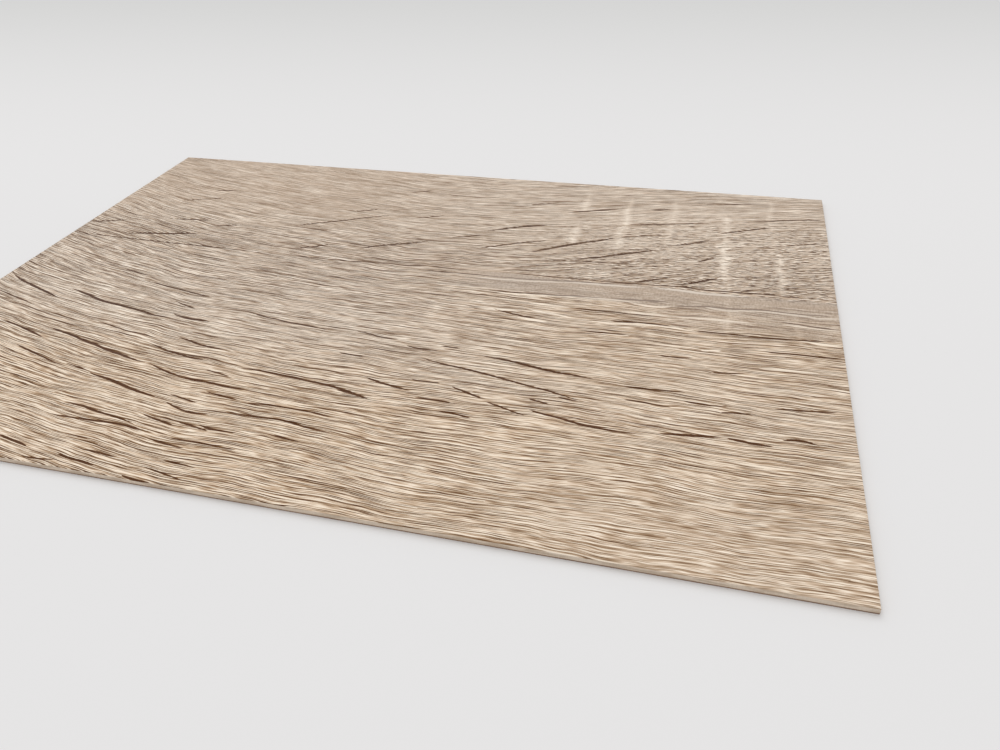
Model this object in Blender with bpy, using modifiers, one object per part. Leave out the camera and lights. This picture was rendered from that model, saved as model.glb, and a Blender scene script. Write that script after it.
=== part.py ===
"""Self-adhesive wood-look wall panel: a rectangular piece of the sheet stock, lying on its back.

The panel is one embossed decor board. An adhesive film covers its back, and a release liner
covers the film until the panel is stuck to a wall. All three are cut to the same outline in
one cut, so their edges are flush.

Frame: the origin is at the middle of the liner's underside, +X runs along the grain, +Y across
it, and +Z points out of the decor face. Lengths are in metres.
"""
import bpy

# Outline of the cut panel

PANEL_LENGTH = 0.210
PANEL_WIDTH = 0.150

# Thickness of each layer, from the back up

LINER_THICKNESS = 0.00008
ADHESIVE_THICKNESS = 0.00015
BOARD_THICKNESS = 0.00100

# Free height that each bonded pair keeps between its faces

BOND_GAP = 0.00001

# Rounding that the cutting blade leaves along the four edges of the decor face

ARRIS_RADIUS = 0.00015
ARRIS_SEGMENTS = 3

# Colours in linear RGB, with roughness

DECOR_COLOUR = (0.485, 0.366, 0.268)
DECOR_ROUGHNESS = 0.55
ADHESIVE_COLOUR = (0.520, 0.430, 0.300)
ADHESIVE_ROUGHNESS = 0.30
LINER_COLOUR = (0.330, 0.215, 0.125)
LINER_ROUGHNESS = 0.45

COLLECTION_NAME = "self_adhesive_wall_panel"
DECOR_FACE_GROUP = "decor_face"


def clear_scene():
    """Remove every object that the open file holds."""
    for old in list(bpy.data.objects):
        bpy.data.objects.remove(old, do_unlink=True)


def make_collection(name):
    """A new collection under the scene's own."""
    collection = bpy.data.collections.new(name)
    bpy.context.scene.collection.children.link(collection)
    return collection


def make_material(name, colour, roughness):
    """A non-metallic Principled material."""
    material = bpy.data.materials.new(name)
    material.use_nodes = True
    shader = material.node_tree.nodes["Principled BSDF"]
    shader.inputs["Base Color"].default_value = (*colour, 1.0)
    shader.inputs["Roughness"].default_value = roughness
    shader.inputs["Metallic"].default_value = 0.0
    return material


def add_layer(name, thickness, underside, material, collection):
    """One rectangular layer of the panel, whose lower face lies at the height underside."""
    bpy.ops.mesh.primitive_cube_add(size=1.0, location=(0.0, 0.0, underside + thickness / 2))
    layer = bpy.context.object
    layer.name = name
    layer.data.name = name
    layer.scale = (PANEL_LENGTH, PANEL_WIDTH, thickness)
    bpy.ops.object.transform_apply(location=False, rotation=False, scale=True)
    layer.data.materials.append(material)
    for holder in list(layer.users_collection):
        holder.objects.unlink(layer)
    collection.objects.link(layer)
    return layer


def round_decor_arris(board):
    """Round the edges between the decor face and the cut sides, and leave the others sharp."""
    group = board.vertex_groups.new(name=DECOR_FACE_GROUP)
    face_corners = [corner.index for corner in board.data.vertices if corner.co.z > 0.0]
    group.add(face_corners, 1.0, "REPLACE")
    bevel = board.modifiers.new("decor_arris", "BEVEL")
    bevel.limit_method = "VGROUP"
    bevel.vertex_group = DECOR_FACE_GROUP
    bevel.width = ARRIS_RADIUS
    bevel.segments = ARRIS_SEGMENTS


def build_panel():
    """Lay the release liner, the adhesive film and the decor board on each other."""
    collection = make_collection(COLLECTION_NAME)

    liner_material = make_material("liner_kraft", LINER_COLOUR, LINER_ROUGHNESS)
    add_layer("release_liner", LINER_THICKNESS, 0.0, liner_material, collection)

    adhesive_underside = LINER_THICKNESS + BOND_GAP
    adhesive_material = make_material("adhesive_clear", ADHESIVE_COLOUR, ADHESIVE_ROUGHNESS)
    add_layer("adhesive_film", ADHESIVE_THICKNESS, adhesive_underside, adhesive_material, collection)

    board_underside = adhesive_underside + ADHESIVE_THICKNESS + BOND_GAP
    decor_material = make_material("decor_oak", DECOR_COLOUR, DECOR_ROUGHNESS)
    board = add_layer("decor_board", BOARD_THICKNESS, board_underside, decor_material, collection)
    round_decor_arris(board)


clear_scene()
build_panel()
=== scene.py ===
"""Looks of a self-adhesive wall panel: pale limed oak, embossed along its grain.

The panel lies flat, decor face up. X runs along the grain, Y across it and Z out of the face.
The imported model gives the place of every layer. This file replaces the plain decor board with
an embossed one, and gives the adhesive film and the release liner their finishes.

The print and the embossing come from one set of grain fields. The same expressions are added
to the shader, which colours the face, and to a geometry node group, which cuts the relief.
"""
import math

import bpy
from bpy.props import FloatProperty, FloatVectorProperty, IntProperty, PointerProperty
from bpy.types import Operator, Panel, PropertyGroup
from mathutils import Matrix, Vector


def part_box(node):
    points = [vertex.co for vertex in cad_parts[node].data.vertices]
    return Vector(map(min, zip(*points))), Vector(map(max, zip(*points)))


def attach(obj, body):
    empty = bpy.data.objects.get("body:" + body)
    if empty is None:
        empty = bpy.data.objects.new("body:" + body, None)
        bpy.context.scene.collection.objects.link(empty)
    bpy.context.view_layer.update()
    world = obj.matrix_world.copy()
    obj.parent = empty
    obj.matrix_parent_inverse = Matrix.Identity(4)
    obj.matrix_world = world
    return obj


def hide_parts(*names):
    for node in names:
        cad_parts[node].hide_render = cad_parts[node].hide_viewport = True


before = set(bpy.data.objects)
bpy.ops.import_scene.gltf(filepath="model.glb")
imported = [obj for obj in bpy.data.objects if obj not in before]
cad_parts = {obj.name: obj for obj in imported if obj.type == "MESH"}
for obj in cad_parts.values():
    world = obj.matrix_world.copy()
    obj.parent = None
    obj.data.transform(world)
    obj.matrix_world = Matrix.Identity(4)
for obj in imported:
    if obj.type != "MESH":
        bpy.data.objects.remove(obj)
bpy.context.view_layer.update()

BOARD_LOW, BOARD_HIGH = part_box("decor_board")
BOARD_SIZE = BOARD_HIGH - BOARD_LOW
MILLIMETRE = 0.001
BODY = "root"

bl_info = {
    "name": "Self-adhesive wall panel",
    "version": (1, 0, 0),
    "blender": (4, 5, 0),
    "location": "3D View > Sidebar > Wall Panel",
    "description": "Dresses a self-adhesive oak-look wall panel and lights it for a picture",
    "category": "Object",
}


def paint(red, green, blue):
    """A colour as it looks on a screen, from 0 to 255, as the linear values a shader takes."""
    def linear(value):
        share = value / 255
        return share / 12.92 if share <= 0.04045 else ((share + 0.055) / 1.055) ** 2.4
    return (linear(red), linear(green), linear(blue))


# How the grain runs, in millimetres: how far it falls from the left end to the right one, and
# how far it wanders in slow waves, in ripples and in the finest tremble.

FALL = 18.4
SLOW_WANDER = 3.5
RIPPLE_WANDER = 0.8
TREMBLE_WANDER = 0.25

# Heights of the finest bumps, in metres: strokes of the blade on the cut sides, bubbles in the
# adhesive and fibres in the liner's paper.

BLADE_HEIGHT = 0.00003
BUBBLE_HEIGHT = 0.00002
FIBRE_HEIGHT = 0.00001

# Checks: the bold dark lines of the decor, in millimetres from the middle of the face.
# Each has its two ends, the bow of its middle, its half width and its strength from 0 to 1.
# The border lines are the ones that edge the grey band.

NEAR_CHECKS = (
    (-104.0, -11.3, -81.0, -20.2, -0.4, 0.55, 0.9),
    (-84.0, -14.6, -46.0, -23.6, -0.9, 0.60, 1.0),
    (-101.0, -19.6, -86.0, -24.4, 0.0, 0.40, 0.6),
    (-66.0, -8.0, -42.0, -12.8, 0.4, 0.40, 0.8),
    (-52.0, -15.2, -44.0, -17.8, 0.0, 0.40, 0.7),
    (-49.0, -21.0, -37.0, -22.8, -0.4, 0.55, 1.0),
    (-76.0, -3.0, -65.0, -5.3, 0.0, 0.35, 0.6),
    (-90.0, -32.0, -72.0, -37.0, 0.3, 0.50, 0.9),
    (-76.0, -31.8, -41.0, -41.8, -0.2, 0.55, 1.0),
    (-43.0, -40.8, -12.0, -45.6, -1.3, 0.50, 1.0),
    (-66.0, -27.6, -44.0, -32.3, -0.2, 0.35, 0.7),
    (-47.0, -34.0, -29.0, -37.8, -0.4, 0.42, 0.9),
    (-42.0, -29.6, -27.0, -33.2, -0.3, 0.42, 0.9),
    (-22.0, -38.0, 12.0, -42.8, 0.8, 0.50, 1.0),
    (-78.0, -40.4, -61.0, -45.8, 0.0, 0.42, 0.9),
    (-61.0, -44.7, -53.0, -46.6, 0.0, 0.35, 0.7),
    (-54.0, -46.4, -31.0, -52.4, 0.0, 0.55, 1.0),
    (-24.0, -47.8, -14.0, -49.2, 0.0, 0.35, 0.7),
    (-28.0, -40.7, -21.0, -42.2, 0.0, 0.35, 0.8),
    (-33.0, -16.5, -6.0, -20.6, -0.3, 0.35, 0.8),
    (14.0, -26.6, 56.0, -35.2, 0.8, 0.45, 0.9),
    (28.0, -23.0, 56.0, -26.9, -0.3, 0.50, 1.0),
    (7.0, -36.2, 19.0, -38.8, 0.0, 0.45, 0.9),
    (26.0, -35.4, 35.0, -38.2, 0.0, 0.42, 0.9),
    (34.0, -38.8, 44.0, -42.3, 0.0, 0.35, 0.8),
    (44.0, -40.0, 66.0, -42.9, -0.5, 0.42, 0.9),
    (61.0, -32.5, 71.5, -33.0, 0.2, 0.45, 0.8),
)
FRONT_CHECKS = (
    (-52.2, -57.1, -30.4, -61.5, 0.6, 0.42, 0.9),
    (-53.8, -61.2, -24.6, -62.7, 0.6, 0.42, 1.0),
    (-57.4, -69.5, -47.6, -71.2, 0.2, 0.42, 1.0),
    (-41.6, -71.7, -31.0, -73.4, 0.0, 0.42, 1.0),
    (-48.2, -73.4, -39.9, -73.3, -0.3, 0.35, 0.8),
    (-38.0, -69.6, -28.7, -70.5, 0.1, 0.35, 0.8),
    (-25.3, -74.0, -18.0, -74.9, -0.2, 0.38, 0.9),
    (-22.5, -71.3, -12.9, -73.1, 0.0, 0.35, 0.8),
    (-20.5, -69.0, -12.0, -69.6, 0.0, 0.35, 0.8),
    (-22.9, -62.6, -6.9, -63.3, -0.1, 0.40, 0.9),
    (-19.3, -57.8, -9.6, -58.6, -0.5, 0.40, 0.9),
    (-32.4, -57.4, -22.8, -59.6, -0.1, 0.42, 1.0),
    (-23.8, -58.2, -15.6, -59.3, 0.1, 0.35, 0.9),
    (-17.1, -53.3, 10.1, -55.3, 0.9, 0.42, 1.0),
    (-15.1, -49.5, 7.8, -50.2, 0.6, 0.40, 0.9),
    (-30.3, -52.7, -18.0, -54.8, -0.8, 0.38, 0.9),
    (-31.1, -50.1, -22.6, -51.8, 0.0, 0.38, 0.8),
    (-3.0, -57.9, 3.7, -58.6, 0.0, 0.40, 0.8),
    (-26.5, -63.8, -17.2, -65.1, 0.0, 0.40, 0.9),
    (3.0, -41.7, 11.4, -43.3, 0.5, 0.50, 1.0),
    (17.0, -34.9, 24.1, -34.9, 0.1, 0.35, 0.8),
    (19.8, -40.7, 29.3, -41.1, 0.4, 0.42, 1.0),
    (42.7, -36.2, 47.5, -37.4, 0.0, 0.42, 0.9),
    (48.3, -34.3, 53.1, -34.7, 0.0, 0.42, 0.9),
    (43.6, -40.0, 50.3, -41.2, -0.2, 0.42, 0.9),
    (-2.1, -19.2, 9.9, -20.7, -0.4, 0.38, 0.9),
    (11.5, -22.4, 19.8, -23.1, -0.3, 0.40, 0.9),
    (19.2, -21.4, 24.5, -21.8, 0.0, 0.35, 0.8),
    (-2.3, -28.3, 4.9, -29.1, 0.0, 0.35, 0.8),
    (26.0, -44.0, 33.6, -44.6, 0.2, 0.40, 0.9),
    (60.2, -28.1, 74.2, -27.5, -0.2, 0.42, 0.9),
    (72.4, -30.6, 82.4, -30.2, -0.6, 0.38, 0.8),
    (79.7, -33.1, 87.2, -32.4, 0.4, 0.40, 0.9),
    (89.6, -29.7, 103.0, -27.9, 0.1, 0.38, 0.9),
    (77.5, -19.5, 85.1, -18.4, -0.1, 0.38, 0.9),
    (66.6, -15.6, 74.7, -14.3, 0.0, 0.38, 0.8),
    (87.3, -9.3, 105.4, -8.6, -0.2, 0.40, 1.0),
    (68.8, -41.8, 81.5, -40.1, 0.3, 0.55, 0.9),
    (80.9, -40.1, 90.8, -40.8, -0.1, 0.50, 0.9),
    (91.3, -38.9, 98.7, -39.2, 0.8, 0.50, 0.8),
    (82.1, -4.3, 104.8, -2.2, -0.5, 0.38, 0.9),
)
FAR_CHECKS = (
    (-90.0, 16.4, -66.0, 21.0, -0.4, 0.60, 1.0),
    (-106.0, 21.4, -93.0, 24.8, 0.0, 0.50, 0.7),
    (-83.0, 27.8, -68.0, 28.4, 0.2, 0.50, 0.7),
    (-80.0, 49.8, -71.0, 51.5, 0.0, 0.55, 0.6),
    (-87.0, 40.0, -71.0, 45.2, 0.0, 0.55, 0.5),
    (-44.0, 28.8, -14.0, 43.0, 0.4, 0.55, 0.7),
    (-19.0, 19.2, 1.0, 28.2, 0.5, 0.60, 0.8),
    (-35.0, 16.6, -26.0, 21.2, 0.0, 0.50, 0.7),
    (-17.0, 59.0, -10.0, 61.6, 0.0, 0.60, 0.6),
    (-65.0, 25.8, -58.0, 27.9, 0.0, 0.50, 0.6),
    (-29.0, 42.5, -21.0, 45.8, 0.0, 0.50, 0.6),
    (-9.0, 41.7, 0.0, 45.0, 0.0, 0.50, 0.6),
    (5.0, 30.8, 14.0, 34.6, 0.0, 0.50, 0.7),
    (31.0, 21.7, 63.0, 25.6, 0.8, 0.35, 0.7),
    (13.0, 36.2, 32.0, 44.6, 0.9, 0.60, 0.9),
    (13.0, 25.4, 34.0, 35.6, 0.3, 0.50, 0.8),
    (27.0, 26.0, 51.0, 40.0, 0.2, 0.75, 1.0),
    (48.0, 39.0, 64.0, 43.4, 0.2, 0.45, 0.7),
    (39.0, 23.8, 63.0, 34.8, -0.2, 0.65, 1.0),
    (20.0, 55.2, 34.0, 61.2, 0.0, 0.50, 0.6),
    (33.0, 52.8, 49.0, 58.6, 0.0, 0.60, 0.9),
    (50.0, 47.6, 76.0, 53.2, 0.3, 0.50, 0.7),
    (65.0, 37.2, 75.0, 42.0, 0.1, 0.60, 1.0),
    (72.0, 29.2, 77.0, 32.8, 0.0, 0.50, 0.9),
    (57.0, 15.4, 67.0, 20.4, 0.0, 0.60, 0.9),
    (67.5, 15.8, 78.5, 22.2, -0.2, 0.60, 0.9),
    (57.0, 59.4, 63.0, 60.3, 0.0, 0.60, 0.8),
    (65.0, 64.0, 90.0, 69.4, 0.0, 0.45, 0.6),
    (76.0, 46.4, 91.0, 53.2, 0.2, 0.50, 0.8),
    (84.0, 55.0, 106.0, 60.6, 1.4, 0.50, 0.8),
    (93.0, 42.6, 106.0, 46.8, 0.0, 0.50, 0.7),
)
BORDER_LINES = (
    (-108.0, 14.8, -38.0, 12.6, -0.3, 0.35, 0.8),
    (-42.0, 12.8, 24.0, 14.6, -0.6, 0.35, 0.7),
    (18.0, 14.6, 110.0, 15.8, 0.0, 0.40, 0.9),
    (-6.0, 11.2, 60.0, 15.0, -0.8, 0.35, 0.8),
    (21.0, 4.8, 54.0, 6.7, -0.3, 0.40, 0.8),
    (52.0, 6.6, 68.0, 8.0, -0.2, 0.45, 0.8),
    (65.0, 5.9, 106.0, 8.2, 0.8, 0.45, 0.8),
    (43.0, 0.9, 68.0, 0.9, -0.6, 0.35, 0.7),
    (54.0, -3.3, 69.0, -2.9, -0.1, 0.45, 1.0),
    (66.0, -2.8, 98.0, -3.1, -0.8, 0.40, 0.8),
    (48.0, -8.9, 60.0, -8.5, 0.0, 0.40, 0.8),
    (26.0, -3.1, 39.0, -6.0, -0.5, 0.40, 0.9),
    (91.0, 3.8, 106.0, 2.8, 0.0, 0.40, 0.7),
)

# Limed lines: thin and pale, beside the dark lines of the grey band, with the same numbers.

LIMED_LINES = (
    (17.0, 10.0, 43.0, 12.3, 0.2, 0.40, 0.7),
    (40.0, 12.4, 61.0, 13.4, 0.2, 0.45, 0.8),
    (62.0, 13.6, 86.0, 13.7, -0.3, 0.50, 0.9),
    (25.0, 3.9, 48.0, 5.6, 0.0, 0.40, 0.7),
    (46.0, 5.6, 59.0, 5.9, 0.1, 0.50, 0.9),
    (57.0, 5.9, 68.0, 6.1, -1.0, 0.50, 0.9),
    (56.0, 0.9, 69.0, 1.6, 0.0, 0.50, 1.0),
    (34.0, 0.9, 45.0, 0.7, 0.0, 0.40, 0.7),
    (35.0, -2.4, 46.0, -3.9, 0.0, 0.45, 0.8),
    (22.0, -3.7, 34.0, -3.7, 0.0, 0.40, 0.7),
    (33.0, -6.3, 41.0, -6.9, 0.0, 0.45, 0.9),
    (50.0, -4.1, 67.0, -3.6, -0.3, 0.55, 1.0),
    (53.0, -9.1, 60.0, -9.0, 0.0, 0.45, 0.9),
    (75.0, 6.7, 83.0, 6.4, -0.3, 0.45, 0.8),
    (80.0, 6.4, 101.0, 7.1, 0.9, 0.50, 1.0),
    (98.0, 7.0, 107.0, 7.8, -0.3, 0.45, 0.7),
    (65.0, 1.8, 88.0, 2.2, -0.5, 0.40, 0.8),
    (65.0, -3.8, 75.0, -3.4, 0.0, 0.50, 0.9),
    (92.0, 2.6, 106.0, 2.2, 0.0, 0.40, 0.8),
    (75.2, -11.4, 79.8, -10.8, 0.0, 0.40, 0.7),
    (87.3, -16.1, 100.0, -15.6, 0.0, 0.50, 1.0),
    (97.7, -4.3, 105.2, -4.7, 0.0, 0.40, 0.8),
)

# Saw marks: pale bands across the grain, each with its middle, its near and far end, its half
# width and its strength from 0 to 1, in millimetres.

SAW_MARKS = (
    (38.6, 32.0, 46.0, 2.0, 0.80),
    (38.2, 53.0, 67.0, 1.6, 0.50),
    (51.0, 28.0, 68.0, 1.9, 0.75),
    (64.0, 37.0, 68.0, 2.0, 0.50),
    (78.8, 15.0, 46.0, 2.3, 1.00),
    (78.6, 45.0, 60.0, 1.7, 0.60),
    (90.4, 50.0, 72.0, 1.4, 0.45),
    (92.6, 14.0, 41.0, 1.7, 0.85),
    (80.8, -6.0, 14.5, 1.3, 0.45),
    (95.8, -6.0, 9.0, 1.2, 0.50),
)


class Wire:
    """A socket that does arithmetic: each operation adds a Math node to the socket's tree."""

    def __init__(self, graph, socket):
        self.graph = graph
        self.socket = socket

    def math(self, operation, *others, clamp=False):
        settings = {"operation": operation, "use_clamp": clamp}
        return self.graph.add("ShaderNodeMath", settings, dict(enumerate((self, *others))))

    def __add__(self, other):
        return self.math("ADD", other)

    def __radd__(self, other):
        return self.math("ADD", other)

    def __sub__(self, other):
        return self.math("SUBTRACT", other)

    def __rsub__(self, other):
        return self.math("MULTIPLY_ADD", -1.0, other)

    def __mul__(self, other):
        return self.math("MULTIPLY", other)

    def __rmul__(self, other):
        return self.math("MULTIPLY", other)

    def __truediv__(self, other):
        return self.math("DIVIDE", other)

    def __rtruediv__(self, other):
        return self.graph.add("ShaderNodeMath", {"operation": "DIVIDE"}, {0: other, 1: self})

    def __abs__(self):
        return self.math("ABSOLUTE")

    def times_plus(self, factor, term):
        """This value times a factor, plus a term."""
        return self.math("MULTIPLY_ADD", factor, term)

    def clamp(self):
        """This value held between 0 and 1."""
        return self.math("ADD", 0.0, clamp=True)

    def highest(self, other):
        return self.math("MAXIMUM", other)

    def smooth(self, start, end):
        """0 at start and before it, 1 at end and past it, with a smooth rise between."""
        settings = {"interpolation_type": "SMOOTHSTEP"}
        values = {"Value": self, "From Min": start, "From Max": end}
        return self.graph.add("ShaderNodeMapRange", settings, values)


class Graph:
    """A shader or geometry node tree that takes whole expressions."""

    def __init__(self, tree):
        self.tree = tree

    def node(self, kind, settings=None, values=None):
        """Add a node: its settings are set first, then the values or links of its sockets."""
        node = self.tree.nodes.new(kind)
        for name, setting in (settings or {}).items():
            setattr(node, name, setting)
        for name, value in (values or {}).items():
            socket = node.inputs[name]
            if isinstance(value, Wire):
                self.tree.links.new(value.socket, socket)
            else:
                socket.default_value = value
        return node

    def add(self, kind, settings=None, values=None, output=0):
        """Add a node and take one of its outputs."""
        return Wire(self, self.node(kind, settings, values).outputs[output])

    def split(self, vector):
        """The X, Y and Z of a vector."""
        node = self.node("ShaderNodeSeparateXYZ", values={"Vector": vector})
        return tuple(Wire(self, socket) for socket in node.outputs)

    def point(self, x, y, z=0.0):
        return self.add("ShaderNodeCombineXYZ", values={"X": x, "Y": y, "Z": z})

    def dot(self, one, other):
        settings = {"operation": "DOT_PRODUCT"}
        return self.add("ShaderNodeVectorMath", settings, {0: one, 1: other}, output="Value")

    def noise(self, along, across, detail=0.0, roughness=0.5):
        """Soft random values around 0.5 over a plane whose units are one lump wide."""
        settings = {"noise_dimensions": "2D"}
        values = {"Vector": self.point(along, across), "Scale": 1.0, "Detail": detail,
                  "Roughness": roughness}
        return self.add("ShaderNodeTexNoise", settings, values)

    def dashes(self, along, across, slenderness):
        """Thin tapered dashes, one in each cell of one unit, and the ridge beside each."""
        tip_taper = 3.2
        ridge_offset = 0.33
        point = self.point(along, across)
        settings = {"voronoi_dimensions": "2D"}
        cell = self.node("ShaderNodeTexVoronoi", settings, {"Vector": point, "Scale": 1.0})
        middle, chance = Wire(self, cell.outputs["Position"]), Wire(self, cell.outputs["Color"])
        settings = {"operation": "SUBTRACT"}
        offset = self.add("ShaderNodeVectorMath", settings, {0: point, 1: middle})
        ahead, aside, _ = self.split(offset)
        dash_strength, ridge_strength, _ = self.split(chance)
        taper = 1.0 - ahead * ahead * tip_taper
        dash = abs(aside).times_plus(-slenderness, taper).clamp()
        ridge = abs(aside - ridge_offset).times_plus(-slenderness, taper).clamp()
        dash_strength = dash_strength.times_plus(0.5, 0.5)
        ridge_strength = ridge_strength.times_plus(0.6, 0.4)
        return dash * dash_strength, ridge * ridge_strength

    def ramp(self, share, stops, colours):
        """A colour that runs through the given ones as share rises past their stops."""
        node = self.node("ShaderNodeValToRGB", values={"Fac": share})
        elements = node.color_ramp.elements
        while len(elements) < len(stops):
            elements.new(0.5)
        for element, stop, colour in zip(elements, stops, colours):
            element.position = stop
            element.color = opaque(colour)
        return Wire(self, node.outputs["Color"])

    def blend(self, under, over, share, mode="MIX"):
        """One colour laid over another."""
        settings = {"data_type": "RGBA", "blend_type": mode}
        values = {"Factor": share, 6: under, 7: over}
        return self.add("ShaderNodeMix", settings, values, output=2)


def make_stroke_group(tree_type):
    """One tapered line as a node group, which the checks, limed lines and saw marks use.

    Point is the place in millimetres with 1 for its Z. Its products with Along and Aside are
    the place from -1 to 1 along the line, and the distance from it in half widths.
    """
    tree = bpy.data.node_groups.new("tapered_stroke", tree_type)
    for name in ("Point", "Along", "Aside"):
        tree.interface.new_socket(name, in_out="INPUT", socket_type="NodeSocketVector")
    for name in ("Bow", "Strength"):
        tree.interface.new_socket(name, in_out="INPUT", socket_type="NodeSocketFloat")
    tree.interface.new_socket("Line", in_out="OUTPUT", socket_type="NodeSocketFloat")
    graph = Graph(tree)
    given = graph.node("NodeGroupInput").outputs
    point, along, aside, bow, strength = (Wire(graph, socket) for socket in given[:5])
    place = graph.dot(point, along)
    square = place * place
    off_line = abs(graph.dot(point, aside) - bow * (1.0 - square))
    taper = 1.0 - square * square
    graph.node("NodeGroupOutput", values={"Line": (taper - off_line) * strength})
    return tree


class GrainFlow:
    """The way the grain runs: how far it falls and wanders at each place.

    The position is in metres. Here and in OakGrain, x, y and all lengths are in millimetres.
    """

    def __init__(self, graph, position):
        self.graph = graph
        x, y, _ = graph.split(position)
        self.x = x / MILLIMETRE
        self.y = y / MILLIMETRE
        self.slow = graph.noise(self.x / 38, self.y / 24, 1.0)
        self.ripple = graph.noise(self.x / 13, self.y / 9, 1.0)
        tremble = graph.noise(self.x / 4, self.y / 3) - 0.5
        waves = (self.slow - 0.5) * SLOW_WANDER + (self.ripple - 0.5) * RIPPLE_WANDER
        self.wander = waves + tremble * TREMBLE_WANDER
        reach = self.x.times_plus(-MILLIMETRE / BOARD_SIZE.x, 0.5)
        square = reach * reach
        self.fall = square * square * FALL


class OakGrain(GrainFlow):
    """The fields of the oak decor, which its print and its embossing share.

    Most run from 0 to 1; strand, fibre and pit run around 0. A zone sets in between the two
    places that smooth is given. The weights are tuned.
    """

    def __init__(self, graph, position):
        super().__init__(graph, position)
        self.stroke = make_stroke_group(graph.tree.bl_idname)
        self.lay_out_zones()
        self.grow_streaks()
        self.cut_checks()
        self.rub_saw_marks()

    def lay_out_zones(self):
        """The near part, the far part, the grey band between them, and the warmth of each.

        The right of the far part has flecks, and its grain rises to the right. That rise sets
        in at a seam along the band. Calm is low on the seam, where streaks would turn askew.
        """
        x, y = self.x, self.y
        edge = y + (self.slow - 0.5) * 4.0
        self.far = edge.smooth(11.0, 15.0)
        self.front = y.smooth(5.0, -55.0)
        self.right = x.smooth(-10.0, 60.0)
        self.waist = y.smooth(-22.0, -4.0) * y.smooth(38.0, 20.0)
        self.near_left = x.smooth(-10.0, -50.0) * y.smooth(-40.0, -62.0)
        self.near_right = x.smooth(10.0, 75.0) * y.smooth(-40.0, -68.0)
        self.far_left = x.smooth(25.0, -45.0) * y.smooth(22.0, 52.0)
        self.fleck_zone = self.far * x.smooth(-30.0, 105.0) * y.smooth(75.0, 35.0)

        band = edge.smooth(4.5, 6.0) * x.smooth(5.0, 30.0)
        second_band = edge.smooth(-4.0, -1.0) * x.smooth(45.0, 85.0) * 0.6
        self.band = band.highest(second_band) * edge.smooth(14.5, 13.5)
        seam = edge.smooth(10.2, 11.2) * edge.smooth(15.8, 14.8) * x.smooth(5.0, 25.0)
        self.calm = 1.0 - seam * 0.8

        warm_front = y.smooth(-15.0, -50.0) * 0.2
        warm_right = self.right * (1.0 - self.far) * 0.15
        cool = self.band * 0.06 + self.near_right * 0.08
        self.warmth = warm_front.highest(warm_right) - cool + 0.86

        rise = self.right * self.far * (x - 10.0) * 0.22
        self.level = y + self.wander
        self.across = self.level - self.fall - rise

    def grow_streaks(self):
        """Pores, long creases and limed ridges along the grain, and flecks in the far part.
        Printed, the ridges are limed wood with a painted highlight, and the crease highlights
        are painted highlight alone.
        """
        graph, x, across, level = self.graph, self.x, self.across, self.level
        tone = graph.noise(x / 45, across / 3, 2.0, 0.6)
        self.tone = tone.smooth(0.36, 0.64)
        self.strand = graph.noise((x - across * 9) / 7, across / 0.36 + 17.0, 1.0, 0.6) - 0.5
        self.fibre = graph.noise(x / 3, across / 0.24 + 53.0) - 0.5
        self.pore, self.ridge = self.streaks(across, 21, 0.6, skew=-21, slenderness=2.8)
        self.fine_pore, self.fine_ridge = self.streaks(
            across, 9, 0.36, skew=-13, slenderness=2.4, start=77)
        self.crease, self.crease_highlight = self.streaks(
            across, 34, 1.15, skew=12, slenderness=3.0, start=9)
        fleck, pale_fleck = self.streaks(level, 2.4, 0.8, skew=1, slenderness=2.4, start=5)
        self.fleck = fleck * self.fleck_zone
        self.pale_fleck = pale_fleck * self.fleck_zone
        self.pit = (graph.noise(x / 0.5, level / 0.9, 1.0) - 0.5) * self.band

    def streaks(self, across, length, width, skew, slenderness, start=0.0):
        """Dashes and their ridges, in cells of a length and a width.

        The cells are skewed along the grain, so that they don't line up across it. Fields that
        start at other numbers don't repeat each other.
        """
        along = (self.x + across * skew) / length
        return self.graph.dashes(along, across / width + start, slenderness)

    def strokes(self, point, lines):
        """The strongest of some tapered lines: 1 in their middle, 0 at their sides and tips."""
        group_node = self.graph.tree.bl_idname.replace("Tree", "Group")
        strongest = None
        for x0, y0, x1, y1, bow, half_width, strength in lines:
            middle = Vector((x0 + x1, y0 + y1)) / 2
            reach = Vector((x1 - x0, y1 - y0)) / 2
            along = reach / reach.length_squared
            aside = Vector((-reach.y, reach.x)) / (reach.length * half_width)
            values = {
                "Point": point,
                "Along": (*along, -middle.dot(along)),
                "Aside": (*aside, -middle.dot(aside)),
                "Bow": bow / half_width,
                "Strength": strength,
            }
            line = self.graph.add(group_node, {"node_tree": self.stroke}, values)
            strongest = line if strongest is None else strongest.highest(line)
        return strongest

    def cut_checks(self):
        """The bold dark lines, which waver a little on their way."""
        wavering = self.graph.point(self.x, self.y + (self.ripple - 0.5) * 1.3, 1.0)
        lines = NEAR_CHECKS + FRONT_CHECKS + FAR_CHECKS + BORDER_LINES
        self.check = self.strokes(wavering, lines).smooth(0.16, 0.5)
        self.limed_line = self.strokes(wavering, LIMED_LINES).smooth(0.0, 0.4)

    def rub_saw_marks(self):
        """Pale bands across the grain."""
        wavering = self.graph.point(self.x + (self.ripple - 0.5) * 2.0, self.y, 1.0)
        no_bow = 0.0
        lines = [(x, near, x, far, no_bow, half_width, strength)
                 for x, near, far, half_width, strength in SAW_MARKS]
        self.saw = self.strokes(wavering, lines).clamp()

    def depth(self):
        """How deep the face is embossed, from 0 on top to 1 in the deepest checks."""
        pressed = self.crease * self.calm * 0.45 + self.fleck * 0.5
        return pressed.highest(self.check).clamp()

    def texture(self):
        """The fine relief of the face, in shares of the emboss depth, for the bump."""
        smooth_band = 1.0 - self.band * 0.6
        coarse = self.ridge * 0.4 - self.pore * 0.5
        fine = self.fine_ridge * 0.3 - self.fine_pore * 0.4
        return ((coarse + fine) * smooth_band + self.fibre * 0.2) * self.calm + self.pit * 0.5

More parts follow.
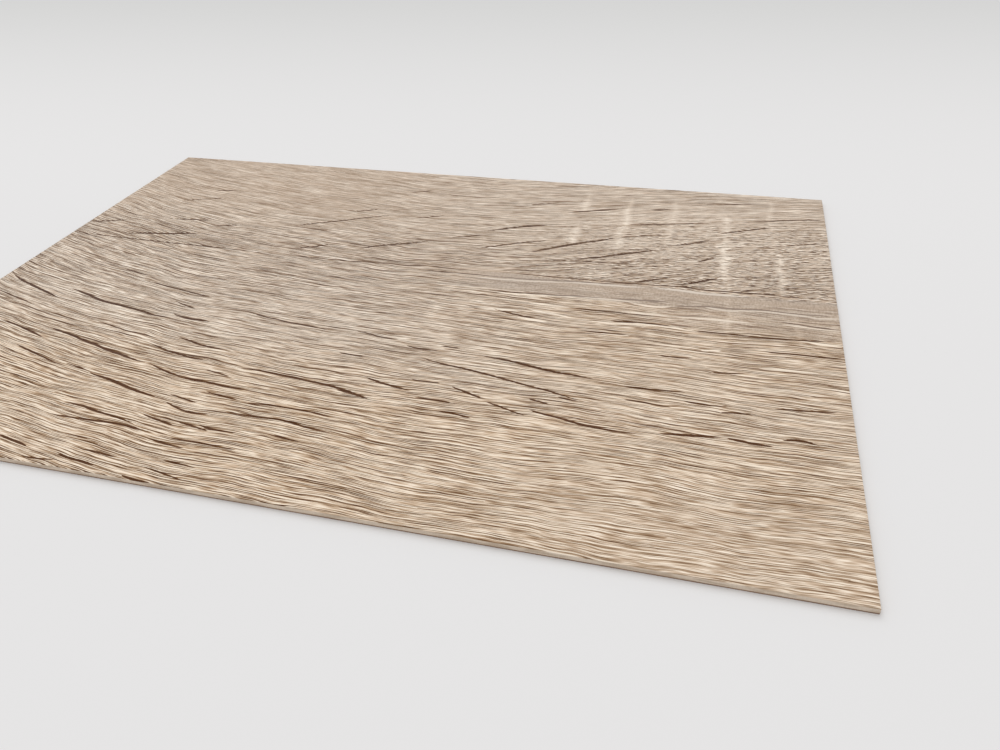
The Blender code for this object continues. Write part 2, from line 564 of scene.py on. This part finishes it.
    def lines_and_painted_highlights(self):
        """Pale ridges and painted highlights less dark pores and creases, as boldly as each
        part shows them. The ridges are limed wood with a painted highlight; the crease
        highlights are painted highlight alone.
        """
        pore = self.pore.smooth(0.2, 0.6) * 0.7
        fine_pore = self.fine_pore.smooth(0.15, 0.55) * 0.65
        crease = self.crease.smooth(0.4, 0.7) * 0.75
        # Painted highlights: the ridges beside the pores, and the crease highlights beside the
        # creases.
        ridge = self.ridge.smooth(0.2, 0.55) * 0.65
        fine_ridge = self.fine_ridge.smooth(0.15, 0.5) * 0.55
        crease_highlight = self.crease_highlight.smooth(0.4, 0.7) * 0.5
        dark = pore.highest(fine_pore).highest(crease)
        pale = ridge.highest(fine_ridge).highest(crease_highlight)
        lines = pale - dark + self.strand * 0.35

        bold = self.front * 0.25 + self.waist * 0.15 - self.near_right * 0.55 + 0.85
        in_zones = (1.0 - self.band * 0.35) * (1.0 - self.fleck_zone * 0.4)
        under_marks = (1.0 - self.saw * 0.5) * (1.0 - self.check)
        return lines * bold * in_zones * under_marks

    def ground_and_painted_light(self):
        """How light the wood is between its lines. It is lighter to the right and at the near
        left and darker at the far left, which is painted light and shade; darker also in the
        waist, the grey band and the far part.
        """
        light = self.right * 0.02 + self.near_left * 0.05 + 0.8
        dim = self.waist * 0.08 + self.band * 0.1 + self.far * 0.05 + self.far_left * 0.05
        return light - dim - self.near_right * 0.04 - self.tone * 0.03

    def lightness(self):
        """How light the print is with its painted light and shade, from 0 in the darkest pores
        to 1 on the palest ridges.
        """
        soft_left = 1.0 - self.far_left * 0.4
        fibre = self.fibre * (self.front * 0.15 + self.waist * 0.15 + 0.55)
        lines = (self.lines_and_painted_highlights() + fibre) * soft_left * self.calm
        flecks = self.pale_fleck.smooth(0.1, 0.5) * 0.55 - self.fleck.smooth(0.1, 0.5) * 0.65
        marks = self.limed_line * 0.85 + self.saw * 0.3 + self.pit * 0.6
        faded = self.far * 0.2 + self.near_right * 0.2
        check = self.check * (self.strand * self.calm * 0.7 - faded + 0.95)
        return (self.ground_and_painted_light() + lines + flecks + marks - check).clamp()


def select_only(piece):
    """Make one object the active one and the only one that is selected."""
    bpy.ops.object.select_all(action="DESELECT")
    piece.select_set(True)
    bpy.context.view_layer.objects.active = piece


def new_material(name):
    """A material with an empty tree, and the graph that fills it."""
    material = bpy.data.materials.new(name)
    material.use_nodes = True
    material.node_tree.nodes.clear()
    return material, Graph(material.node_tree)


def finish_material(graph, **values):
    """Close a material with a Principled shader; names are its sockets' in lower case."""
    named = {name.replace("_", " ").title().replace("Ior", "IOR"): value
             for name, value in values.items()}
    shader = graph.add("ShaderNodeBsdfPrincipled", values=named)
    graph.node("ShaderNodeOutputMaterial", values={"Surface": shader})


def opaque(colour):
    return (*colour, 1.0)


def place_on_piece(graph):
    """The point on the piece, in metres from the panel's origin."""
    return graph.add("ShaderNodeTexCoord", output="Object")


def place_in_millimetres(graph):
    """The X, Y and Z of the point on the piece."""
    return tuple(distance / MILLIMETRE for distance in graph.split(place_on_piece(graph)))


def bumped(graph, height, distance):
    """A normal tilted by a height, where distance is the height of 1 in metres."""
    return graph.add("ShaderNodeBump", values={"Distance": distance, "Height": height})


def shaded(graph, colour, noise, depth):
    """A colour made darker and lighter by a noise around 0.5, by up to half the depth."""
    shade = (noise - 0.5) * depth + 1.0
    return graph.blend(colour, graph.point(shade, shade, shade), 1.0, mode="MULTIPLY")


def make_decor_material(look):
    """Matt printed oak: beige wood, brown pores and checks, limed ridges and saw marks. The
    ridges carry painted highlights, the deepest checks painted shade, and the ground painted
    light and shade.
    """
    material, graph = new_material("embossed_oak_decor")
    grain = OakGrain(graph, place_on_piece(graph))
    stops = (0.0, 0.22, 0.42, 0.77, 1.0)
    tones = (look.brown, look.umber, look.tan, look.beige, look.limed)
    wood = graph.ramp(grain.lightness(), stops, tones)
    wood = graph.blend(wood, opaque(look.grey), grain.band * 0.5)
    values = {"Saturation": grain.warmth, "Color": wood}
    wood = graph.add("ShaderNodeHueSaturation", values=values)
    normal = bumped(graph, grain.texture(), look.emboss_depth)
    finish_material(graph, base_color=wood, roughness=grain.pore * 0.3 + 0.52, normal=normal,
                    specular_ior_level=0.2)
    return material


def make_core_material(look):
    """The cut sides of the board: greige, filled and faintly marked by the blade."""
    material, graph = new_material("greige_board_core")
    x, y, height = place_in_millimetres(graph)
    run = x + y
    patch = graph.noise(run / 6, height * 1.2, 2.0)
    blade = graph.noise(run / 0.35, height * 0.4 + 9.0, 1.0)
    core = graph.blend(opaque(look.core), opaque(look.core_shade), patch.smooth(0.42, 0.62))
    core = shaded(graph, core, blade, 0.16)
    normal = bumped(graph, blade, BLADE_HEIGHT)
    finish_material(graph, base_color=core, roughness=patch * 0.2 + 0.55, normal=normal)
    return material


def make_adhesive_material(look):
    """Glossy adhesive with fine bubbles, as brown as the liner that shows through it."""
    material, graph = new_material("clear_adhesive")
    x, y, _ = place_in_millimetres(graph)
    cloud = graph.noise(x / 7, y / 7, 2.0).smooth(0.35, 0.65)
    bubble = graph.noise(x / 0.5, y / 0.5).smooth(0.62, 0.72)
    film = graph.blend(opaque(look.adhesive), opaque(look.adhesive_shade), cloud)
    normal = bumped(graph, bubble, BUBBLE_HEIGHT)
    finish_material(graph, base_color=film, roughness=bubble * 0.2 + 0.28, normal=normal)
    return material


def make_liner_material(look):
    """Brown kraft release paper: short fibres both ways and a calendered sheen."""
    material, graph = new_material("kraft_release_paper")
    x, y, _ = place_in_millimetres(graph)
    cloud = graph.noise(x / 16, y / 12, 3.0)
    long_fibre = graph.noise(x / 1.6, y / 0.14, 1.0)
    cross_fibre = graph.noise(x / 0.16 + 40.0, y / 1.3, 1.0)
    fibre = (long_fibre + cross_fibre) * 0.5
    paper = graph.blend(opaque(look.kraft), opaque(look.kraft_shade), cloud.smooth(0.3, 0.7))
    paper = shaded(graph, paper, fibre, 0.5)
    normal = bumped(graph, fibre, FIBRE_HEIGHT)
    finish_material(graph, base_color=paper, roughness=cloud * 0.2 + 0.32, normal=normal)
    return material


class OakBoardSettings(PropertyGroup):
    """Sizes and colours of the embossed decor board."""
    emboss_depth: FloatProperty(
        name="Emboss depth", description="Depth of the deepest checks below the decor face",
        default=0.00014, subtype="DISTANCE", unit="LENGTH", precision=5)
    arris_radius: FloatProperty(
        name="Arris radius", description="Rounding between the decor face and the cut sides",
        default=0.00015, subtype="DISTANCE", unit="LENGTH", precision=5)
    columns: IntProperty(
        name="Columns", description="Faces of the embossed surface along the grain",
        default=190)
    rows: IntProperty(
        name="Rows", description="Faces of the embossed surface across the grain",
        default=480)
    near_spacing: FloatProperty(
        name="Near spacing", description="Row spacing at the near edge, as a share of the mean",
        default=0.62, subtype="FACTOR", min=0.2, max=1.0)
    straight_margin: FloatProperty(
        name="Straight margin",
        description="Strip at the near and far edges where rows turn from straight to grain",
        default=0.035, subtype="DISTANCE", unit="LENGTH")
    # The palest tone: limed ridges and saw marks, whitened further as a painted highlight on
    # the ridges.
    limed: FloatVectorProperty(
        name="Limed", description="Palest ridges and saw marks", subtype="COLOR",
        default=paint(252, 236, 216))
    beige: FloatVectorProperty(
        name="Beige", description="Main colour of the oak", subtype="COLOR",
        default=paint(211, 186, 160))
    tan: FloatVectorProperty(
        name="Tan", description="Valleys between the ridges", subtype="COLOR",
        default=paint(160, 130, 100))
    umber: FloatVectorProperty(
        name="Umber", description="Pores", subtype="COLOR", default=paint(124, 92, 60))
    # Deepest checks: dark brown print, made darker and redder still as painted shade inside
    # their grooves.
    brown: FloatVectorProperty(
        name="Brown", description="Deepest checks", subtype="COLOR", default=paint(84, 50, 22))
    grey: FloatVectorProperty(
        name="Grey", description="Smooth grey band", subtype="COLOR",
        default=paint(178, 162, 147))
    core: FloatVectorProperty(
        name="Core", description="Cut sides of the board", subtype="COLOR",
        default=paint(212, 195, 176))
    core_shade: FloatVectorProperty(
        name="Core shade", description="Darker patches on the cut sides", subtype="COLOR",
        default=paint(190, 171, 150))


class BackingSettings(PropertyGroup):
    """Colours of the adhesive film and the release liner: brown as kraft is, and darker still
    as painted shade of the thin gap along the panel's foot.
    """
    adhesive: FloatVectorProperty(
        name="Adhesive", description="Adhesive film", subtype="COLOR",
        default=paint(150, 120, 96))
    adhesive_shade: FloatVectorProperty(
        name="Adhesive shade", description="Thicker spots of the film", subtype="COLOR",
        default=paint(134, 104, 82))
    kraft: FloatVectorProperty(
        name="Kraft", description="Release liner", subtype="COLOR",
        default=paint(130, 98, 73))
    kraft_shade: FloatVectorProperty(
        name="Kraft shade", description="Cloudy patches of the liner", subtype="COLOR",
        default=paint(119, 88, 64))


class StageSettings(PropertyGroup):
    """The pale floor with painted shade far behind, the light and the camera."""
    floor_size: FloatProperty(
        name="Floor size", description="Side of the square floor", default=8.0,
        subtype="DISTANCE", unit="LENGTH")
    floor_colour: FloatVectorProperty(
        name="Floor", description="Colour of the floor", subtype="COLOR",
        default=paint(232, 231, 231))
    # The floor darkens far behind as painted shade, where the light falls off, and sooner on
    # the left.
    far_shade_colour: FloatVectorProperty(
        name="Far floor", description="Colour of the floor far behind", subtype="COLOR",
        default=paint(209, 209, 208))
    fade_start: FloatProperty(
        name="Fade start", description="How far behind the origin the floor starts to change",
        default=0.05, subtype="DISTANCE", unit="LENGTH")
    fade_end: FloatProperty(
        name="Fade end", description="How far behind the origin the floor has the far colour",
        default=0.45, subtype="DISTANCE", unit="LENGTH")
    fade_slant: FloatProperty(
        name="Fade slant", description="How much sooner the change comes on the left",
        default=0.1)
    sky_strength: FloatProperty(
        name="Sky strength", description="Even light from all round", default=0.78)
    lamp_power: FloatProperty(
        name="Lamp power", description="Power of the large soft lamp behind the panel",
        default=45.0, unit="POWER")
    lamp_size: FloatProperty(
        name="Lamp size", description="Side of the square lamp", default=3.0,
        subtype="DISTANCE", unit="LENGTH")
    lamp_place: FloatVectorProperty(
        name="Lamp place", description="Middle of the lamp", subtype="TRANSLATION",
        default=(-0.8, 2.2, 3.0))
    camera_place: FloatVectorProperty(
        name="Camera place", description="Where the camera stands", subtype="TRANSLATION",
        default=(0.07354, -0.16233, 0.09985))
    camera_turn: FloatVectorProperty(
        name="Camera turn", description="The camera's rotation", subtype="EULER",
        default=(math.radians(54.483), math.radians(1.967), math.radians(14.68)))
    lens: FloatProperty(
        name="Lens", description="Focal length in millimetres on a 36 mm sensor",
        default=29.112)


def cut_relief(piece, look):
    """Crowd the rows in front, lay them along the grain and press the relief into them."""
    tree = bpy.data.node_groups.new("press_oak_relief", "GeometryNodeTree")
    tree.interface.new_socket("Sheet", in_out="INPUT", socket_type="NodeSocketGeometry")
    tree.interface.new_socket("Sheet", in_out="OUTPUT", socket_type="NodeSocketGeometry")
    graph = Graph(tree)
    sheet = graph.add("NodeGroupInput")

    width = BOARD_SIZE.y - 2 * look.arris_radius
    x, y, z = graph.split(graph.add("GeometryNodeInputPosition"))
    share = y.times_plus(1 / width, 0.5)
    spread = (share * (1 - look.near_spacing) + look.near_spacing) * share
    spaced = spread.times_plus(width, -width / 2)

    # The rows stay straight at the near and far edges, and follow the grain further in.
    follow = abs(spaced).smooth(width / 2, width / 2 - look.straight_margin) * MILLIMETRE
    fallen = spaced + GrainFlow(graph, graph.point(x, spaced)).fall * follow
    wavy = fallen - GrainFlow(graph, graph.point(x, fallen)).wander * follow
    values = {"Geometry": sheet, "Position": graph.point(x, wavy, z)}
    sheet = graph.add("GeometryNodeSetPosition", values=values)

    grain = OakGrain(graph, graph.add("GeometryNodeInputPosition"))
    sunk = graph.point(0.0, 0.0, grain.depth() * -look.emboss_depth)
    values = {"Geometry": sheet, "Offset": sunk}
    sheet = graph.add("GeometryNodeSetPosition", values=values)
    graph.node("NodeGroupOutput", values={"Sheet": sheet})

    modifier = piece.modifiers.new("relief", "NODES")
    modifier.node_group = tree
    select_only(piece)
    bpy.ops.object.modifier_apply(modifier=modifier.name)


def grow_rim(step_out, step_down, outline):
    """Extrude the selected rim and move it outwards and down; outline is its present size."""
    bpy.ops.mesh.extrude_region_move(TRANSFORM_OT_translate={"value": (0.0, 0.0, -step_down)})
    grow_x = (outline.x + 2 * step_out) / outline.x
    grow_y = (outline.y + 2 * step_out) / outline.y
    bpy.ops.transform.resize(value=(grow_x, grow_y, 1.0), center_override=(0.0, 0.0, 0.0))
    outline.x += 2 * step_out
    outline.y += 2 * step_out


class PANEL_OT_oak_board(Operator):
    """Make the embossed decor board in place of the plain one"""
    bl_idname = "wall_panel.oak_board"
    bl_label = "Embossed oak board"

    def execute(self, context):
        look = context.scene.oak_board
        radius = look.arris_radius
        outline = Vector((BOARD_SIZE.x - 2 * radius, BOARD_SIZE.y - 2 * radius))
        lowest_arris = BOARD_HIGH.z - look.emboss_depth - radius
        foot = lowest_arris - look.emboss_depth - radius

        bpy.ops.object.select_all(action="DESELECT")
        bpy.ops.mesh.primitive_grid_add(
            x_subdivisions=look.columns, y_subdivisions=look.rows, size=1.0,
            location=(0.0, 0.0, BOARD_HIGH.z))
        board = context.object
        board.name = "embossed_board"
        board.scale = (outline.x, outline.y, 1.0)
        bpy.ops.object.transform_apply(location=True, rotation=False, scale=True)
        cut_relief(board, look)

        board.data.materials.append(make_decor_material(look))
        board.data.materials.append(make_core_material(look))
        bpy.ops.object.mode_set(mode="EDIT")
        bpy.ops.mesh.select_mode(type="EDGE")
        bpy.ops.mesh.select_all(action="DESELECT")
        bpy.ops.mesh.select_non_manifold()

        # The arris is two faces wide, and its middle edge lies at 45 degrees on the rounding.
        reach = radius * math.sin(math.radians(45))
        grow_rim(reach, radius - reach, outline)
        grow_rim(radius - reach, reach, outline)

        # The wavy rim is brought level at the foot, and from there the sides go straight down.
        bpy.ops.mesh.extrude_region_move()
        bpy.ops.transform.resize(value=(1.0, 1.0, 0.0), center_override=(0.0, 0.0, foot))
        drop = {"value": (0.0, 0.0, BOARD_LOW.z - foot)}
        bpy.ops.mesh.extrude_region_move(TRANSFORM_OT_translate=drop)
        bpy.ops.mesh.edge_face_add()
        bpy.ops.mesh.select_all(action="SELECT")
        bpy.ops.mesh.normals_make_consistent(inside=False)
        bpy.ops.object.mode_set(mode="OBJECT")

        for face in board.data.polygons:
            face.material_index = 1 if face.center.z < lowest_arris else 0
        bpy.ops.object.shade_smooth_by_angle(angle=math.radians(60))
        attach(board, BODY)
        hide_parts("decor_board")
        return {"FINISHED"}


class PANEL_OT_backing(Operator):
    """Give the adhesive film and the release liner their finishes"""
    bl_idname = "wall_panel.backing"
    bl_label = "Adhesive film and release liner"

    def execute(self, context):
        look = context.scene.panel_backing
        finishes = {
            "adhesive_film": make_adhesive_material(look),
            "release_liner": make_liner_material(look),
        }
        for name, material in finishes.items():
            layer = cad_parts[name]
            layer.data.materials.clear()
            layer.data.materials.append(material)
        return {"FINISHED"}


class PANEL_OT_stage(Operator):
    """Lay a pale floor with painted shade far behind, and set up soft light and the camera"""
    bl_idname = "wall_panel.stage"
    bl_label = "Floor, light and camera"

    def execute(self, context):
        stage = context.scene.panel_stage
        self.lay_floor(stage)
        self.light(context, stage)
        self.place_camera(context, stage)
        context.scene.view_settings.view_transform = "Standard"
        return {"FINISHED"}

    def lay_floor(self, stage):
        bpy.ops.object.select_all(action="DESELECT")
        bpy.ops.mesh.primitive_plane_add(size=stage.floor_size, location=(0.0, 0.0, 0.0))
        floor = bpy.context.object
        floor.name = "floor"
        material, graph = new_material("floor_with_painted_shade")
        x, y, _ = graph.split(place_on_piece(graph))
        # Painted shade: the floor darkens towards the far colour behind the panel.
        far_shade = (y - x * stage.fade_slant).smooth(stage.fade_start, stage.fade_end)
        colour = graph.blend(opaque(stage.floor_colour), opaque(stage.far_shade_colour), far_shade)
        finish_material(graph, base_color=colour, roughness=0.9, specular_ior_level=0.0)
        floor.data.materials.append(material)

    def light(self, context, stage):
        world = bpy.data.worlds.new("soft_studio")
        world.use_nodes = True
        backdrop = world.node_tree.nodes["Background"]
        backdrop.inputs["Color"].default_value = (1.0, 1.0, 1.0, 1.0)
        backdrop.inputs["Strength"].default_value = stage.sky_strength
        context.scene.world = world

        lamp = bpy.data.lights.new("soft_lamp", "AREA")
        lamp.shape = "SQUARE"
        lamp.size = stage.lamp_size
        lamp.energy = stage.lamp_power
        holder = bpy.data.objects.new("soft_lamp", lamp)
        holder.location = stage.lamp_place
        holder.rotation_euler = (-Vector(stage.lamp_place)).to_track_quat("-Z", "Y").to_euler()
        context.scene.collection.objects.link(holder)

    def place_camera(self, context, stage):
        camera = bpy.data.cameras.new("camera")
        camera.sensor_width = 36.0
        camera.lens = stage.lens
        camera.clip_start = 0.01
        holder = bpy.data.objects.new("camera", camera)
        holder.location = stage.camera_place
        holder.rotation_euler = stage.camera_turn
        context.scene.collection.objects.link(holder)
        context.scene.camera = holder


class PANEL_PT_sidebar(Panel):
    """The panel's settings and its steps, in order"""
    bl_idname = "PANEL_PT_sidebar"
    bl_label = "Wall Panel"
    bl_space_type = "VIEW_3D"
    bl_region_type = "UI"
    bl_category = "Wall Panel"

    def draw(self, context):
        steps = (
            (context.scene.oak_board, PANEL_OT_oak_board),
            (context.scene.panel_backing, PANEL_OT_backing),
            (context.scene.panel_stage, PANEL_OT_stage),
        )
        for settings, step in steps:
            box = self.layout.box()
            for name in settings.__annotations__:
                box.prop(settings, name)
            box.operator(step.bl_idname)


CLASSES = (
    OakBoardSettings,
    BackingSettings,
    StageSettings,
    PANEL_OT_oak_board,
    PANEL_OT_backing,
    PANEL_OT_stage,
    PANEL_PT_sidebar,
)


def register():
    for cls in CLASSES:
        bpy.utils.register_class(cls)
    bpy.types.Scene.oak_board = PointerProperty(type=OakBoardSettings)
    bpy.types.Scene.panel_backing = PointerProperty(type=BackingSettings)
    bpy.types.Scene.panel_stage = PointerProperty(type=StageSettings)


def unregister():
    del bpy.types.Scene.panel_stage
    del bpy.types.Scene.panel_backing
    del bpy.types.Scene.oak_board
    for cls in reversed(CLASSES):
        bpy.utils.unregister_class(cls)


def main():
    register()
    bpy.ops.wall_panel.oak_board()
    bpy.ops.wall_panel.backing()
    bpy.ops.wall_panel.stage()


if __name__ == "__main__":
    main()
